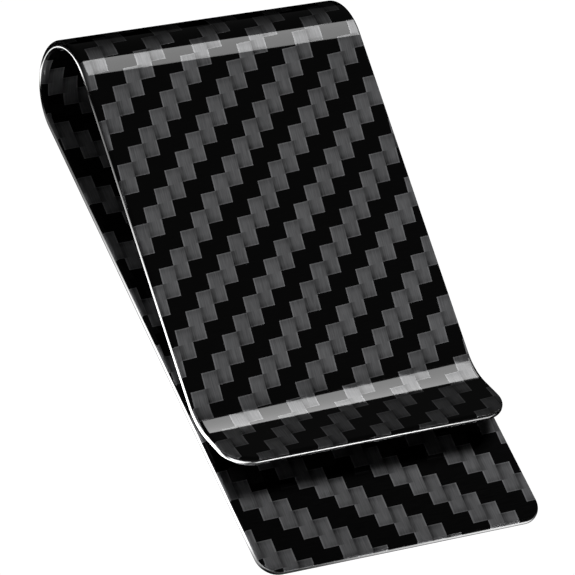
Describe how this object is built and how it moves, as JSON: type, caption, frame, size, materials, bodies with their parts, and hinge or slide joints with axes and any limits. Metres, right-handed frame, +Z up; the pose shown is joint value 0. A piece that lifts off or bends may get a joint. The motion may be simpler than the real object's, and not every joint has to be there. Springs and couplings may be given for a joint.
{
  "type": "money clip",
  "caption": "Sprung money clip: a laminate strip folded into a flat plate, a round spring bend and a leaf with a flared lip that pinches folded notes.",
  "frame": {"origin": "middle of the clip's footprint, on the outer face of the plate it lies on", "axes": "+Z up from the plate to the leaf, +Y along the clip from the plate's free foot to the round bend, +X across the width"},
  "size_m": [0.035, 0.0664, 0.0121],
  "materials": {
    "outer_twill": "clear-coated 2/2 twill carbon cloth, polished",
    "inner_twill": "clear-coated twill carbon cloth, moulded smooth",
    "core": "carbon plies in resin, polished at the edges"
  },
  "bodies": {
    "plate": {"plate_outer_cloth": "outer_twill", "plate_outer_core": "core", "plate_inner_core": "core", "plate_inner_cloth": "inner_twill"},
    "crown": {"crown_outer_cloth": "outer_twill", "crown_outer_core": "core", "crown_inner_core": "core", "crown_inner_cloth": "inner_twill"},
    "leaf": {"leaf_outer_cloth": "outer_twill", "leaf_outer_core": "core", "leaf_inner_core": "core", "leaf_inner_cloth": "inner_twill"}
  },
  "joints": [
    {"name": "lower_flex", "type": "hinge", "parent": "plate", "child": "crown", "pos_m": [0, 0.03101, 0.00142], "axis": [-1, 0, 0], "range_deg": [0, 4], "stiffness_Nm_per_rad": 6.4},
    {"name": "upper_flex", "type": "hinge", "parent": "crown", "child": "leaf", "pos_m": [0, 0.02978, 0.01149], "axis": [-1, 0, 0], "range_deg": [0, 4], "stiffness_Nm_per_rad": 6.4}
  ],
  "couplings": [
    {"joint": "upper_flex", "follows": "lower_flex", "ratio": 1}
  ]
}
